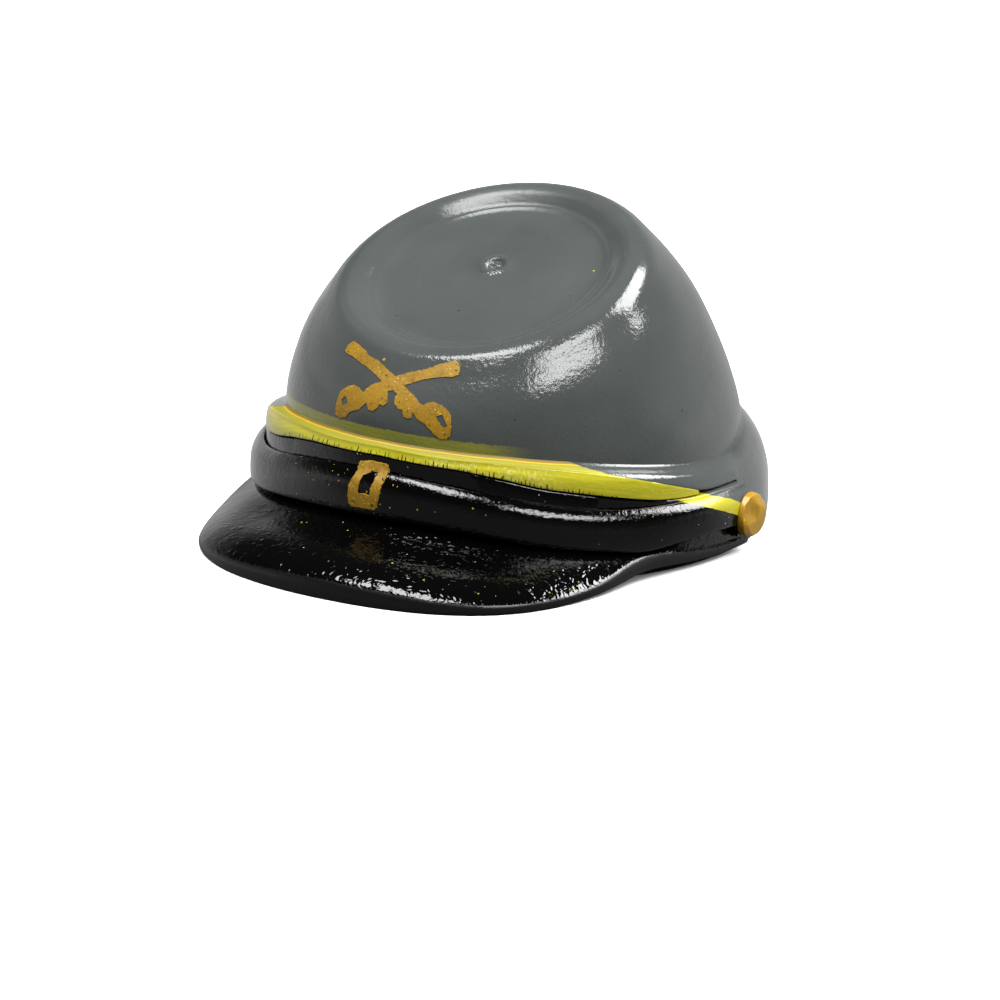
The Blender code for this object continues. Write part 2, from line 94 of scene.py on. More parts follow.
SABRE_LEFT_HILT = (
    (1.61, 0.77), (1.46, 0.85), (1.35, 0.79), (1.03, 0.62), (0.93, 0.53), (0.69, 0.41), (0.38, 0.28),
    (0.03, 0.11), (-0.20, -0.05), (-0.45, -0.16), (-0.59, -0.24), (-0.72, -0.38), (-0.77, -0.46),
    (-0.94, -0.34), (-1.13, -0.29), (-1.33, -0.36), (-1.52, -0.49), (-1.57, -0.67), (-1.60, -0.88),
    (-1.60, -1.05), (-1.38, -1.12), (-1.20, -1.08), (-1.11, -0.97), (-0.76, -0.86), (-0.58, -0.69),
    (-0.48, -0.85), (-0.34, -0.86), (-0.22, -0.78), (-0.19, -0.67), (-0.05, -0.69), (0.04, -0.59),
    (-0.01, -0.44), (-0.02, -0.32), (0.07, -0.26), (0.37, -0.08), (0.52, 0.01), (0.79, 0.16), (1.03, 0.26),
    (1.24, 0.34), (1.55, 0.42), (1.66, 0.51),
)
GUARD_HOLES = (
    ((1.43, -0.66), (1.59, -0.58), (1.75, -0.80), (1.68, -0.88), (1.55, -0.80)),
    ((-1.43, -0.70), (-1.35, -0.60), (-1.17, -0.66), (-1.18, -0.76), (-1.37, -0.83)),
)
# small bare spots in the ink: side, up
BADGE_PITS = ((-1.71, 0.56), (-0.23, 0.07), (-0.06, -0.19), (-0.14, -0.52), (-0.40, -0.69), (0.38, -0.53),
              (0.67, -0.70), (1.58, 0.59), (1.72, -1.01))
PIT_RADIUS = 0.022
BADGE_RAGGED = 0.018  # how far the edge of the print wanders

BUCKLE_OUTLINE = (
    (-0.53, 2.80), (-0.20, 2.87), (0.24, 2.86), (0.31, 2.83), (0.34, 2.71), (0.39, 2.57), (0.34, 2.41),
    (0.31, 2.16), (0.25, 1.84), (0.18, 1.76), (-0.16, 1.755), (-0.50, 1.74), (-0.59, 1.79), (-0.63, 1.99),
    (-0.62, 2.25), (-0.53, 2.50), (-0.52, 2.64), (-0.57, 2.73),
)
BUCKLE_WINDOW = (
    (-0.28, 2.54), (-0.12, 2.62), (0.12, 2.60), (0.10, 2.45), (0.05, 2.29), (0.04, 2.09), (-0.12, 2.13),
    (-0.34, 2.09), (-0.32, 2.35),
)
BUCKLE_CHIPS = (((-0.50, 1.86), (-0.36, 1.81), (-0.38, 1.86), (-0.48, 1.90)),
                ((0.10, 1.84), (0.14, 1.80), (0.17, 1.86), (0.14, 1.91), (0.10, 1.89)))
BUCKLE_MIDDLE = (-0.12, 2.3)
BUCKLE_RAGGED = 0.014
BUCKLE_LIFT = 0.050
BUCKLE_DEPTH = 0.13
BUCKLE_EASING = 6  # rounds of smoothing over the groove

BUTTON_ANGLE = 91.5
BUTTON_HEIGHT = 0.99
BUTTON_SEAT = 6.72  # distance of its foot from the bore's axis
BUTTON_LEAN = 7.0
BUTTON_RADIUS = 0.54
BUTTON_THICKNESS = 0.19
BUTTON_MIDDLE = 0.125  # height of the disc's middle over its foot
BUTTON_NECK = (0.08, 0.06)  # inset and length
# the face, step by step inwards: inset, rise, and the shift sideways and up that follows
BUTTON_FACE = ((0.09, 0.055, (0.02, -0.03)), (0.06, 0.018, (0.02, -0.05)), (0.05, -0.006, None),
               (0.12, 0.004, None))
BUTTON_DROP = (0.04, 0.03)  # the drop of paint on the upper edge: up, out
BUTTON_DENT = (-0.30, 0.30, 0.11)  # side, up, depth
BUTTON_DENT_REACH = 0.36
BUTTON_BUMPS = 0.006
BUTTON_ROUNDING = 0.045

CREASE_CIRCLE = (5.785, AXIS_Y - 0.34)  # radius and centre of the band's inner edge
CREASE_BEVEL = 0.07
# rows of points that fill the crease: from and to these heights above it, how far they rise, their new radius
CREASE_FILLET = ((-0.05, 0.03, 0.03, 5.775), (-0.12, -0.05, 0.25, 5.66))
LEDGE_HEIGHT = 2.1
PIPING_RISE = 0.05

# ---- painted lines: angle from the front, height ----
NONE, ALL = -20.0, 20.0
CREASE = ((0, 3.30), (15, 3.27), (30, 3.18), (45, 3.01), (60, 2.77), (80, 2.42), (100, 2.27), (123, 2.48),
          (150, 2.60), (180, 2.65))
PIPING_FOOT = ((0, 3.03), (20, 2.92), (30, 2.74), (38, 2.51), (47, 2.34), (56, 2.14), (66, 1.91), (72, 1.84),
               (78, 1.81), (98, 1.69))
YELLOW_TOP = ((0, 4.0), (36, 4.0), (42, 3.18), (47, 2.96), (52, 2.81), (57, 2.62), (63, 2.45), (69, 2.22),
              (74, 2.03), (78, 1.86), (84, 1.70), (86, NONE), (180, NONE))
BLACK_TOP = ((0, NONE), (92, NONE), (93, 1.45), (97, 0.98), (104, 0.52), (112, 0.24), (118, -0.1),
             (120, NONE), (180, NONE))  # what shows of the black paint behind the buttons
WEDGE_FOOT = ((0, ALL), (62, ALL), (67, 1.95), (71.5, 1.80), (74.5, 1.69), (78, 1.54), (82, 1.35), (86, 1.15),
              (90, 0.95), (98, 0.60))
RIM_PAINT = ((0, 0.50), (10, 0.45), (20, 0.34), (27, 0.26), (35, 0.22), (42, 0.25), (46, 0.30), (50, 0.39),
             (54, 0.53), (58, 0.65), (61, 0.67), (66, 0.62), (71, 0.52), (76, 0.45), (82, 0.37), (98, 0.31))
WEDGE_TOP = ((0, ALL), (68, ALL), (72, 2.05), (77, 1.86), (81, 1.74), (85, 1.58), (88.5, 1.38), (98, 0.90))


# ---- small tools ----
def read(table, angle):
    """The table's height at an angle, the same to the left and to the right."""
    x = abs(angle)
    for (x0, y0), (x1, y1) in zip(table, table[1:]):
        if x <= x1:
            return y0 + (y1 - y0) * max(0.0, (x - x0) / (x1 - x0))
    return table[-1][1]


def take(piece):
    """Selects this piece alone."""
    if bpy.context.mode != "OBJECT":
        bpy.ops.object.mode_set(mode="OBJECT")
    bpy.ops.object.select_all(action="DESELECT")
    piece.select_set(True)
    bpy.context.view_layer.objects.active = piece


def enter(piece, kind):
    take(piece)
    bpy.ops.object.mode_set(mode="EDIT")
    bpy.ops.mesh.select_mode(type=kind)
    bpy.ops.mesh.select_all(action="DESELECT")


def leave():
    bpy.ops.object.mode_set(mode="OBJECT")


def new_piece(name):
    """Names the primitive that was just added and puts its place into its mesh."""
    piece = bpy.context.active_object
    piece.name = piece.data.name = name
    bpy.ops.object.transform_apply(location=True, rotation=True, scale=True)
    return piece


def pick_faces(piece, wanted):
    """Edit mode with the faces selected whose centre and normal pass the test."""
    enter(piece, "FACE")
    leave()
    for face in piece.data.polygons:
        face.select = wanted(face.center / MM, face.normal)
    bpy.ops.object.mode_set(mode="EDIT")


def pick_points(piece, wanted, afresh=True):
    """Edit mode with the points selected whose place, in millimetres, passes the test.

    Unless it starts afresh, edges that were left selected stay so, and their points with them.
    """
    if afresh:
        enter(piece, "VERT")
    leave()
    for point in piece.data.vertices:
        point.select = wanted(point.co / MM)
    bpy.ops.object.mode_set(mode="EDIT")


def apply_all(piece):
    take(piece)
    for step in list(piece.modifiers):
        bpy.ops.object.modifier_apply(modifier=step.name)


def smooth(piece, angle=35.0):
    take(piece)
    bpy.ops.object.shade_smooth_by_angle(angle=math.radians(angle))


def face_out(piece):
    enter(piece, "FACE")
    bpy.ops.mesh.select_all(action="SELECT")
    bpy.ops.mesh.normals_make_consistent(inside=False)
    leave()


def around(rows, steps):
    """The rows with smoothly placed rows between them, on a curve through every row."""
    rows = [Vector(row) for row in rows]
    gaps = [(end - start).length for start, end in zip(rows, rows[1:])]
    runs = [(end - start) / gap for start, end, gap in zip(rows, rows[1:], gaps)]
    ways = [(before * ahead + after * behind) / (behind + ahead)
            for before, after, behind, ahead in zip(runs, runs[1:], gaps, gaps[1:])]
    ways = [runs[0]] + ways + [runs[-1]]
    found = []
    for start, end, leaving, coming, gap in zip(rows, rows[1:], ways, ways[1:], gaps):
        for i in range(steps):
            t = i / steps
            bend = leaving * (t * (1 - t) ** 2 * gap) - coming * (t * t * (1 - t) * gap)
            found.append(start.lerp(end, t * t * (3 - 2 * t)) + bend)
    return found + [rows[-1]]


def cut(target, tool, operation):
    """One exact Boolean, after which the tool is gone."""
    step = target.modifiers.new(operation.lower(), "BOOLEAN")
    step.operation, step.solver, step.object = operation, "EXACT", tool
    apply_all(target)
    bpy.data.objects.remove(tool, do_unlink=True)


# ---- crown ----
def ring_between(front, back):
    """Centre, radius and tilt of the ring through two points given as y from the bore's axis and height."""
    front, back = Vector(front), Vector(back)
    middle, across = (front + back) / 2, back - front
    centre = Vector((0.0, AXIS_Y + middle.x, middle.y)) * MM
    return centre, across.length / 2 * MM, math.atan2(across.y, across.x)


def crown_rings():
    rings = []
    for radius, height in around(CROWN_INSIDE, 3):
        rings.append(ring_between((-INSIDE_FORWARD - radius, height), (-INSIDE_FORWARD + radius, height)))
    for front_y, front_z, back_y, back_z in around(CROWN_OUTSIDE, 4):
        rings.append(ring_between((front_y, front_z), (back_y, back_z)))
    front_y, front_z, back_y, back_z = CROWN_OUTSIDE[-1]
    front, back = Vector((front_y, front_z)), Vector((back_y, back_z))
    across = (back - front).normalized()
    out = Vector((-across.y, across.x))
    dish = around(((((back - front).length / 2, 0.0, 0.0),) + TOP_DISH), 4)[1:]
    for radius, depth, set_back in dish:
        middle = (front + back) / 2 - out * depth + across * set_back
        rings.append(ring_between(middle - across * radius, middle + across * radius))
    return rings


def make_crown():
    """Drawn up ring by ring: down the inside, out under the wall, up the outside and into the sunken top."""
    rings = crown_rings()
    centre, radius, tilt = rings[0]
    bpy.ops.object.select_all(action="DESELECT")
    bpy.ops.mesh.primitive_circle_add(
        vertices=CROWN_SEGMENTS, radius=radius, location=centre, fill_type="NGON"
    )
    crown = new_piece("kepi_crown")
    enter(crown, "VERT")
    bpy.ops.mesh.select_all(action="SELECT")
    for (centre, radius, tilt), (next_centre, next_radius, next_tilt) in zip(rings, rings[1:]):
        bpy.ops.mesh.extrude_region_move(TRANSFORM_OT_translate={"value": next_centre - centre})
        grown = next_radius / radius
        bpy.ops.transform.resize(value=(grown, grown, grown), center_override=next_centre)
        if abs(next_tilt - tilt) > 1e-6:
            bpy.ops.transform.rotate(value=tilt - next_tilt, orient_axis="X", center_override=next_centre)
    bpy.ops.mesh.select_all(action="SELECT")
    bpy.ops.mesh.select_mode(type="FACE")
    leave()
    for face in crown.data.polygons:
        face.select = len(face.vertices) > 4
    bpy.ops.object.mode_set(mode="EDIT")
    bpy.ops.mesh.poke()
    leave()
    mark = rings[-1][0] / MM
    pick_points(crown, lambda place: (place - mark).length < MARK_RADIUS)
    bpy.ops.transform.vertex_random(offset=MARK_ROUGHNESS * MM, uniform=0.0, normal=1.0, seed=3)
    bpy.ops.mesh.vertices_smooth(factor=0.4, repeat=1)
    leave()
    face_out(crown)
    smooth(crown, 40.0)
    return crown


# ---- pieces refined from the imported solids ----
def refined(node, name, crease, shape=None, levels=2):
    """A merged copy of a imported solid, in quads, its corners held by creases and the rest rounded off."""
    source = nodes[node]
    take(source)
    bpy.ops.object.duplicate()
    piece = bpy.context.active_object
    piece.name = piece.data.name = name
    for key in [k for k in piece.keys() if k.startswith("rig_")]:
        del piece[key]
    piece.parent = None
    bpy.ops.mesh.customdata_custom_splitnormals_clear()
    enter(piece, "EDGE")
    bpy.ops.mesh.select_all(action="SELECT")
    bpy.ops.mesh.remove_doubles(threshold=1e-6)
    bpy.ops.mesh.normals_make_consistent(inside=False)
    bpy.ops.mesh.tris_convert_to_quads(face_threshold=math.radians(60), shape_threshold=math.radians(60))
    leave()
    if shape:
        shape(piece)
    enter(piece, "EDGE")
    bpy.ops.mesh.edges_select_sharp(sharpness=math.radians(45))
    bpy.ops.transform.edge_crease(value=crease)
    leave()
    rounding = piece.modifiers.new("rounding", "SUBSURF")
    rounding.levels = rounding.render_levels = levels
    apply_all(piece)
    smooth(piece, 60.0)
    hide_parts(node)
    return piece


def crease_points(piece, low, high):
    """Selects the points of the band's inner wall between two heights from the crease, in edit mode."""
    radius, centre_y = CREASE_CIRCLE

    def on_wall(place):
        off_wall = math.hypot(place.x, place.y - centre_y) - radius
        level = place.z - read(CREASE, angle_round(place))
        return abs(off_wall) < 0.025 and low < level < high and place.z > LEDGE_HEIGHT + 0.02

    pick_points(piece, on_wall)


def fill_crease(piece):
    """Rounds the band's inner edge up on to the crown's wall, so that no slit shows between them."""
    radius, centre_y = CREASE_CIRCLE
    centre = Vector((0.0, centre_y, 3.0)) * MM
    crease_points(piece, -0.03, 0.03)
    bpy.ops.mesh.bevel(offset=CREASE_BEVEL * MM, segments=2, affect="EDGES")
    for low, high, rise, wanted in CREASE_FILLET:
        crease_points(piece, low, high)
        bpy.ops.transform.translate(value=(0, 0, rise * MM))
        grown = wanted / radius
        bpy.ops.transform.resize(value=(grown, grown, 1.0), center_override=centre)
    leave()


def raise_top(piece):
    """Draws the piping's upper side up to the band's lip, so that the paint runs over both without a gap."""
    pick_faces(piece, lambda centre, normal: normal.z > 0.8)
    bpy.ops.transform.translate(value=(0, 0, PIPING_RISE * MM))
    leave()


def angle_round(point):
    """Degrees round the bore's axis from the front to a point in millimetres."""
    return math.degrees(math.atan2(point.x, AXIS_Y - point.y))


def lay_map(piece, name, line):
    """A map in millimetres: across is the way round the cap, up is the height above a painted line."""
    layer = piece.data.uv_layers.new(name=name)
    for face in piece.data.polygons:
        centre = angle_round(face.center / MM)
        for corner in face.loop_indices:
            point = piece.data.vertices[piece.data.loops[corner].vertex_index].co / MM
            angle = angle_round(point)
            angle += 360 * round((centre - angle) / 360)
            layer.data[corner].uv = (math.radians(angle) * MAP_RADIUS, point.z - read(line, angle))


# ---- badge and buckle: thin gold print ----
def traced(name, outline, half=1.0):
    """An upright plate in the XZ plane: its outline drawn point by point, filled, and drawn out."""
    start = Vector((outline[0][0], -half, outline[0][1])) * MM
    bpy.ops.object.select_all(action="DESELECT")
    bpy.ops.mesh.primitive_plane_add(size=0.1 * MM, location=start)
    plate = new_piece(name)
    enter(plate, "VERT")
    bpy.ops.mesh.select_all(action="SELECT")
    bpy.ops.mesh.merge(type="CENTER")
    for (side, up), (next_side, next_up) in zip(outline, outline[1:]):
        step = Vector((next_side - side, 0.0, next_up - up)) * MM
        bpy.ops.mesh.extrude_vertices_move(TRANSFORM_OT_translate={"value": step})
    leave()
    plate.data.vertices[0].select = True
    bpy.ops.object.mode_set(mode="EDIT")
    bpy.ops.mesh.edge_face_add()
    bpy.ops.mesh.select_all(action="SELECT")
    bpy.ops.mesh.edge_face_add()
    bpy.ops.mesh.extrude_region_move(TRANSFORM_OT_translate={"value": (0, 2 * half * MM, 0)})
    leave()
    face_out(plate)
    return plate


def disc(side, up, radius, sides=9):
    turns = [2 * math.pi * i / sides for i in range(sides)]
    return [(side + radius * math.cos(t), up + radius * math.sin(t)) for t in turns]


def flat_ink(plate, middle, ragged, seed):
    """Keeps the plate's front face, cuts it into cells round its middle and roughens its edge."""
    pick_faces(plate, lambda centre, normal: normal.y > -0.5)
    bpy.ops.mesh.delete(type="FACE")
    bpy.ops.mesh.select_all(action="SELECT")
    bpy.ops.mesh.remove_doubles(threshold=0.004 * MM)
    leave()
    for axis in (Vector((1, 0, 0)), Vector((0, 0, 1))):
        for i in range(-INK_CUTS, INK_CUTS + 1):
            enter(plate, "FACE")
            bpy.ops.mesh.select_all(action="SELECT")
            spot = (Vector((middle[0], 0.0, middle[1])) + axis * (i + 0.1) * INK_CELL) * MM
            bpy.ops.mesh.bisect(plane_co=spot, plane_no=axis, threshold=0.002 * MM)
    enter(plate, "EDGE")
    bpy.ops.mesh.select_non_manifold()
    bpy.ops.mesh.subdivide(number_cuts=2)
    bpy.ops.mesh.select_mode(type="VERT")
    bpy.ops.mesh.select_all(action="DESELECT")
    bpy.ops.mesh.select_non_manifold()
    bpy.ops.transform.vertex_random(offset=ragged * MM, uniform=0.0, normal=0.0, seed=seed)
    bpy.ops.mesh.select_all(action="SELECT")
    bpy.ops.mesh.quads_convert_to_tris()
    leave()


def lay_on(ink, target, lift, thickness, eased=0):
    """Projects a flat sheet onto the surface behind it, eases its bends and gives it a thickness.

    The thickness goes outwards. An eased sheet is drawn into the surface instead, so that it has no gap
    under it.
    """
    wrap = ink.modifiers.new("lay", "SHRINKWRAP")
    wrap.wrap_method, wrap.target = "PROJECT", target
    wrap.use_project_y, wrap.use_positive_direction, wrap.use_negative_direction = True, True, False
    wrap.offset = lift * MM
    apply_all(ink)
    if eased:
        enter(ink, "VERT")
        bpy.ops.mesh.select_all(action="SELECT")
        bpy.ops.mesh.vertices_smooth(factor=0.5, repeat=eased, xaxis=False, zaxis=False)
        bpy.ops.mesh.extrude_region_move(TRANSFORM_OT_translate={"value": (0, thickness * MM, 0)})
        leave()
    else:
        body = ink.modifiers.new("body", "SOLIDIFY")
        body.thickness, body.offset = thickness * MM, 1.0
        apply_all(ink)
    bpy.ops.object.transform_apply(location=True, rotation=True, scale=True)
    face_out(ink)
    smooth(ink, 60.0)


def make_badge(crown):
    badge = traced("crossed_sabres", SABRE_RIGHT_HILT)
    cut(badge, traced("second_sabre", SABRE_LEFT_HILT, 0.9), "UNION")
    for outline in GUARD_HOLES:
        cut(badge, traced("guard_hole", outline, 1.5), "DIFFERENCE")
    for side, up in BADGE_PITS:
        cut(badge, traced("pit", disc(side, up, PIT_RADIUS), 1.5), "DIFFERENCE")
    flat_ink(badge, (0.0, 0.0), BADGE_RAGGED, 4)
    out = Vector((0.0, -math.cos(math.radians(BADGE_LEAN)), math.sin(math.radians(BADGE_LEAN))))
    take(badge)
    badge.rotation_euler = (math.radians(-BADGE_LEAN), 0.0, 0.0)
    badge.location = (Vector(BADGE_PLACE) + out * 2.0) * MM
    lay_on(badge, crown, INK_LIFT, INK)
    return badge


def make_buckle(strap, front_band):
    """The buckle's frame, printed across the strap and the groove above it."""
    buckle = traced("buckle_frame", BUCKLE_OUTLINE)
    cut(buckle, traced("window", BUCKLE_WINDOW, 1.5), "DIFFERENCE")
    for chip in BUCKLE_CHIPS:
        cut(buckle, traced("chip", chip, 1.5), "DIFFERENCE")
    flat_ink(buckle, BUCKLE_MIDDLE, BUCKLE_RAGGED, 9)
    take(front_band)
    bpy.ops.object.duplicate()
    ground = bpy.context.active_object
    take(strap)
    bpy.ops.object.duplicate()
    ground.select_set(True)
    bpy.context.view_layer.objects.active = ground
    bpy.ops.object.join()
    take(buckle)
    buckle.location = Vector((0.0, -6.0, 0.0)) * MM
    lay_on(buckle, ground, BUCKLE_LIFT, BUCKLE_DEPTH, eased=BUCKLE_EASING)
    bpy.data.objects.remove(ground, do_unlink=True)
    return buckle


# ---- side buttons ----
def make_button():
    """A thick disc on a short neck, with a rounded rim, a flat face and a drop of paint on its upper edge."""
    bpy.ops.object.select_all(action="DESELECT")
    middle = Vector((0.0, 0.0, BUTTON_MIDDLE)) * MM
    bpy.ops.mesh.primitive_cylinder_add(
        vertices=48, radius=BUTTON_RADIUS * MM, depth=BUTTON_THICKNESS * MM, location=middle
    )
    button = new_piece("side_button")
    pick_faces(button, lambda centre, normal: normal.z < -0.9)
    inset, length = BUTTON_NECK
    bpy.ops.mesh.inset(thickness=inset * MM, depth=0.0)
    bpy.ops.mesh.extrude_region_move(TRANSFORM_OT_translate={"value": (0, 0, -length * MM)})
    pick_faces(button, lambda centre, normal: normal.z > 0.9)
    for inset, rise, shift in BUTTON_FACE:
        bpy.ops.mesh.inset(thickness=inset * MM, depth=rise * MM)
        if shift:
            bpy.ops.transform.translate(value=(shift[0] * MM, shift[1] * MM, 0))
    bpy.ops.mesh.poke()
    leave()
    pick_points(button, lambda place: place.xy.length > 0.5 and place.y > 0.42 and place.x > -0.25)
    up, out = BUTTON_DROP
    bpy.ops.transform.translate(value=(0.0, up * MM, out * MM))
    side, up, depth = BUTTON_DENT

    def on_dent(place):
        return math.hypot(place.x - side, place.y - up) < 0.13 and place.z > 0.15

    pick_points(button, on_dent, afresh=False)
    bpy.ops.transform.translate(
        value=(0, 0, -depth * MM), use_proportional_edit=True, proportional_size=BUTTON_DENT_REACH * MM
    )
    bpy.ops.mesh.select_all(action="SELECT")
    bpy.ops.transform.vertex_random(offset=BUTTON_BUMPS * MM, uniform=0.0, normal=0.0, seed=2)
    leave()
    rim = button.modifiers.new("rim", "BEVEL")
    rim.width, rim.segments = BUTTON_ROUNDING * MM, 3
    rim.limit_method, rim.angle_limit = "ANGLE", math.radians(50)
    soft = button.modifiers.new("soft", "SUBSURF")
    soft.levels = soft.render_levels = 1
    apply_all(button)
    smooth(button, 70.0)
    return button


def place_button(button, name, side):
    """A copy of the button on the strap's end, its face a little downwards."""
    take(button)
    bpy.ops.object.duplicate()
    placed = bpy.context.active_object
    placed.name = placed.data.name = name
    turn = math.radians(BUTTON_ANGLE) * side
    out = Vector((math.sin(turn), -math.cos(turn), -math.sin(math.radians(BUTTON_LEAN)))).normalized()
    up = (Vector((0, 0, 1)) - out * out.z).normalized()
    along = up.cross(out)
    seat = Vector((BUTTON_SEAT * math.sin(turn), AXIS_Y - BUTTON_SEAT * math.cos(turn), BUTTON_HEIGHT)) * MM
    mirror = Matrix.Diagonal((side, 1.0, 1.0, 1.0))
    frame_of = Matrix((along, up, out)).transposed().to_4x4()
    placed.matrix_world = Matrix.Translation(seat) @ frame_of @ mirror
    take(placed)
    bpy.ops.object.transform_apply(location=True, rotation=True, scale=True)
    face_out(placed)
    return placed


# ---- node helpers ----
def add(tree, kind, **settings):
    made = tree.nodes.new("ShaderNode" + kind)
    for name, value in settings.items():
        setattr(made, name, value)
    return made


def feed(tree, socket, value):
    """Links an output to a socket, or sets the socket to a plain value."""
    if isinstance(value, bpy.types.NodeSocket):
        tree.links.new(value, socket)
    else:
        socket.default_value = value


def maths(tree, operation, *values):
    made = add(tree, "Math", operation=operation)
    for socket, value in zip(made.inputs, values):
        feed(tree, socket, value)
    return made.outputs[0]


def times(tree, product, *others):
    for other in others:
        product = maths(tree, "MULTIPLY", product, other)
    return product


def spread(tree, value, low, high, to_low=0.0, to_high=1.0):
    """A smooth step from to_low to to_high as the value goes from low to high."""
    made = add(tree, "MapRange", interpolation_type="SMOOTHSTEP")
    for name, given in (("Value", value), ("From Min", low), ("From Max", high), ("To Min", to_low),
                        ("To Max", to_high)):
        feed(tree, made.inputs[name], given)
    return made.outputs[0]


def between(tree, value, start, full, last, end):
    """1 from full to last, and 0 before start and after end."""
    return times(tree, spread(tree, value, start, full), spread(tree, value, last, end, 1.0, 0.0))


def blend(tree, share, first, second):
    made = add(tree, "Mix", data_type="RGBA")
    feed(tree, made.inputs[0], share)
    feed(tree, made.inputs[6], first)
    feed(tree, made.inputs[7], second)
    return made.outputs[2]


def parts(tree, vector):
    made = add(tree, "SeparateXYZ")
    feed(tree, made.inputs[0], vector)
    return made.outputs


def place_on(tree):
    """The place on the object, in metres."""
    return add(tree, "TexCoord").outputs["Object"]


def place_over(tree, size):
    """The place on the object, divided by a size in millimetres."""
    scaled = add(tree, "VectorMath", operation="SCALE")
    feed(tree, scaled.inputs[0], place_on(tree))
    feed(tree, scaled.inputs["Scale"], maths(tree, "DIVIDE", 1 / MM, size))
    return scaled.outputs[0]


def painted_map(tree, name):
    """Way round the cap and height above a painted line, in millimetres."""
    return parts(tree, add(tree, "UVMap", uv_map=name).outputs[0])[:2]


def noise(tree, where, scale, detail=2.0, roughness=0.5, distortion=0.0, **settings):
    made = add(tree, "TexNoise", **settings)
    feed(tree, made.inputs["W" if made.noise_dimensions == "1D" else "Vector"], where)
    for name, value in (("Scale", scale), ("Detail", detail), ("Roughness", roughness),
                        ("Distortion", distortion)):
        made.inputs[name].default_value = value
    return made.outputs["Fac"]


def lumps(size):
    """Noise scale for lumps about this many millimetres across, where the place is in metres."""
    return 0.5 / (size * MM)


def bumped(tree, fine, fine_height, broad, broad_height):
    """Normal of a surface with fine and broad relief, their heights in millimetres."""
    made = add(tree, "Bump")
    made.inputs["Strength"].default_value = 1.0
    made.inputs["Distance"].default_value = MM
    height = maths(tree, "ADD", times(tree, fine, fine_height), times(tree, broad, broad_height))
    feed(tree, made.inputs["Height"], height)
    return made.outputs[0]


def effect(output, kind, **inputs):
    """Makes a shader group of a function that takes its tree and inputs and gives what the group puts out.

    The inputs are named with _ for a space, and a tuple makes a colour input.
    """
    def build(fill):
        tree = bpy.data.node_groups.new(fill.__name__, "ShaderNodeTree")
        for name, value in inputs.items():
            socket = "NodeSocketColor" if isinstance(value, tuple) else "NodeSocketFloat"
            socket = tree.interface.new_socket(name.replace("_", " "), in_out="INPUT", socket_type=socket)
            socket.default_value = value
        tree.interface.new_socket(output, in_out="OUTPUT", socket_type="NodeSocket" + kind)
        given = tree.nodes.new("NodeGroupInput").outputs
        feed(tree, tree.nodes.new("NodeGroupOutput").inputs[output], fill(tree, given))
        return tree
    return build


def use(tree, made, **values):
    """Places a group and gives what it puts out. Its inputs are given by name, with _ for a space."""
    placed = tree.nodes.new("ShaderNodeGroup")
    placed.node_tree = made
    for name, value in values.items():
        feed(tree, placed.inputs[name.replace("_", " ")], value)
    return placed.outputs[0]


# ---- colours, paint lines and gloss ----
def tinted(colour, factor):
    return tuple(c * factor for c in colour[:3]) + (1.0,)


GREY = (0.0425, 0.0475, 0.0458, 1.0)
BLACK = (0.0003, 0.0003, 0.0003, 1.0)
RIM_BLACK = (0.0022, 0.0022, 0.0021, 1.0)
OLIVE = (0.165, 0.165, 0.016, 1.0)
YELLOW = (0.335, 0.305, 0.012, 1.0)
# painted shade: a darker copy of the yellow, towards the crease
SHADED_YELLOW = tinted(YELLOW, 0.58)  # towards the crease
# painted highlight: a bright line of yellow along the crease
PAINTED_HIGHLIGHT_YELLOW = (0.40, 0.28, 0.003, 1.0)
PAINTED_SPARKLE_YELLOW = (0.50, 0.50, 0.26, 1.0)
GAP_YELLOW = (0.03, 0.03, 0.004, 1.0)  # in the gaps of the brushed edge
ORANGE = (0.21, 0.095, 0.0, 1.0)
SPECK = (0.22, 0.20, 0.03, 1.0)
PALE_SPECK = (0.16, 0.16, 0.14, 1.0)
GOLD = (0.222, 0.126, 0.009, 1.0)
DEEP_GOLD = (0.145, 0.076, 0.005, 1.0)
RICH_GOLD = (0.32, 0.18, 0.006, 1.0)
GOLD_GLINT = (0.50, 0.34, 0.08, 1.0)
GOLD_PIT = (0.05, 0.03, 0.008, 1.0)

# heights above the crease between which one paint passes into the next, in millimetres
# the first two lead into painted shade and into a painted highlight along the crease
TO_SHADED = (-0.15, -0.06)
TO_PAINTED_HIGHLIGHT = (-0.020, -0.012)
TO_ORANGE = (-0.006, 0.002)
TO_OLIVE = (0.022, 0.032)
POOL = (0.0, 0.015)
OLIVE_STRIP = 0.30  # height of the strip on the crown

# roughness
GREY_GLOSS, GREY_BACK_GLOSS, SOCKET_GLOSS = 0.085, 0.26, 0.2
PIPING_GLOSS, BAND_YELLOW_GLOSS, WEDGE_GLOSS = 0.16, 0.60, 0.30
STRAP_GLOSS, PEAK_GLOSS, RIM_GLOSS = 0.05, 0.06, 0.32


# ---- effects that several materials share ----
@effect("Normal", "Vector", Dimple_Size=0.1, Dimple_Height=0.002, Swell_Height=0.004)
def glossy_skin(tree, given):
    """Skin of glossy moulded or painted plastic: fine dimples on soft swells. Millimetres."""
    dimples = noise(tree, place_over(tree, given["Dimple Size"]), 0.5, detail=3.0, roughness=0.6)
    swells = noise(tree, place_on(tree), lumps(0.55), detail=1.0)
    return bumped(tree, dimples, given["Dimple Height"], swells, given["Swell Height"])


@effect("Normal", "Vector", Fold_Size=0.1, Fold_Height=0.01, Swell_Height=0.008)
def leather_wrinkles(tree, given):
    """Creased skin as on lacquered leather: short sharp folds with smooth hollows between. Millimetres."""
    folds = noise(tree, place_over(tree, given["Fold Size"]), 0.42, distortion=0.6,
                  noise_type="RIDGED_MULTIFRACTAL", normalize=True)
    swells = noise(tree, place_on(tree), lumps(0.45))
    return bumped(tree, folds, given["Fold Height"], swells, given["Swell Height"])


